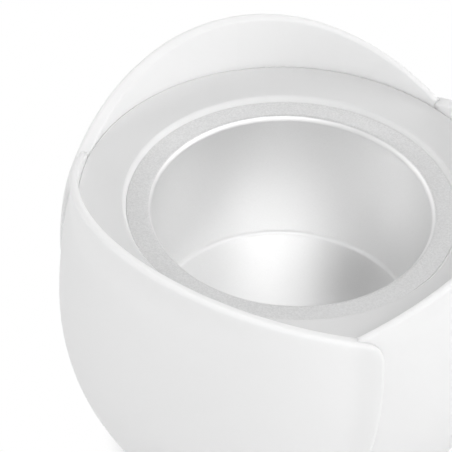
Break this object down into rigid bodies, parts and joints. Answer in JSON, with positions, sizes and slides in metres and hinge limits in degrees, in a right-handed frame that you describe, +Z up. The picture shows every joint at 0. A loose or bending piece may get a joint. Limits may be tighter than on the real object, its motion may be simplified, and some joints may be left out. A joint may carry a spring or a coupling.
{
  "type": "wax warmer",
  "caption": "Round electric wax warmer: a lift-out metal pot in a heated well, inside a white tulip-shaped casing of lapped petals with a heat dial and a power button.",
  "frame": {"origin": "under the middle of the feet, on the pot's axis, at table height", "axes": "+Z up; +Y to the back, where the power inlet faces; +X to the right, seen from the front"},
  "size_m": [0.1679, 0.1691, 0.1362],
  "materials": {
    "casing_white": "smooth white moulding with a soft gloss",
    "bezel_white": "satin white moulding",
    "pot_metal": "fine blasted flange, bright-cut mouth edge, drawn inside",
    "well_metal": "plain drawn sheet",
    "tray_plastic": "satin white moulding",
    "feet_rubber": "matt",
    "seal_silicone": "matt silicone",
    "steel": "zinc plated",
    "band_steel": "rolled sheet",
    "insulation": "woven glass fibre",
    "ceramic": null,
    "fascia_grey": "light grey moulding",
    "dial_white": "satin white moulding",
    "dial_metal": "spun disc",
    "button_white": "gloss white",
    "plunger_white": "plain nylon",
    "component_black": "plain black",
    "board_green": "solder mask",
    "terminal_green": "plain green",
    "lamp_clear": "clear amber",
    "pin_brass": "plain turned",
    "wire_brown": "plain cover",
    "wire_white": "heatproof cover",
    "wire_red": "heatproof cover"
  },
  "bodies": {
    "housing": {"petal_front": "casing_white", "petal_right": "casing_white", "petal_back": "casing_white", "bezel_ring": "bezel_white", "heater_can": "well_metal", "base_tray": "tray_plastic", "rubber_feet": "feet_rubber", "can_seal": "seal_silicone", "can_nut": "steel", "band_heater": "band_steel", "band_clamp_screw": "steel", "band_clamp_nut": "steel", "insulation_sleeve": "insulation", "support_plate": "steel", "plate_spacers": "ceramic", "plate_screws": "steel", "base_screws": "steel", "bezel_screws": "steel", "fascia_screws": "steel", "board_screws": "steel", "sensor_strap": "steel", "cutout_strap": "steel", "control_fascia": "fascia_grey", "control_board": "board_green", "potentiometer": "component_black", "power_switch": "component_black", "triac": "component_black", "terminal_block": "terminal_green", "indicator_led": "lamp_clear", "lamp_lens": "lamp_clear", "temperature_sensor": "component_black", "thermal_cutout": "ceramic", "mains_inlet": "component_black", "inlet_pins": "pin_brass", "mains_leads": "wire_brown", "heater_leads": "wire_white", "sensor_lead": "wire_red", "cutout_leads": "wire_white"},
    "pot": {"wax_pot": "pot_metal"},
    "dial": {"dial": "dial_white", "dial_cap": "dial_metal", "dial_spindle": "steel"},
    "button": {"power_button": "button_white", "switch_plunger": "plunger_white"}
  },
  "joints": [
    {"name": "pot_lift", "type": "slide", "parent": "housing", "child": "pot", "axis": [0, 0, 1], "range_m": [0, 0.09]},
    {"name": "dial_turn", "type": "hinge", "parent": "housing", "child": "dial", "pos_m": [0.07153, -0.0413, 0.082], "axis": [-0.866, 0.5, 0], "range_deg": [0, 270]},
    {"name": "power_press", "type": "slide", "parent": "housing", "child": "button", "axis": [-0.866, 0.5, 0], "range_m": [0, 0.0015], "stiffness_N_per_m": 800}
  ]
}
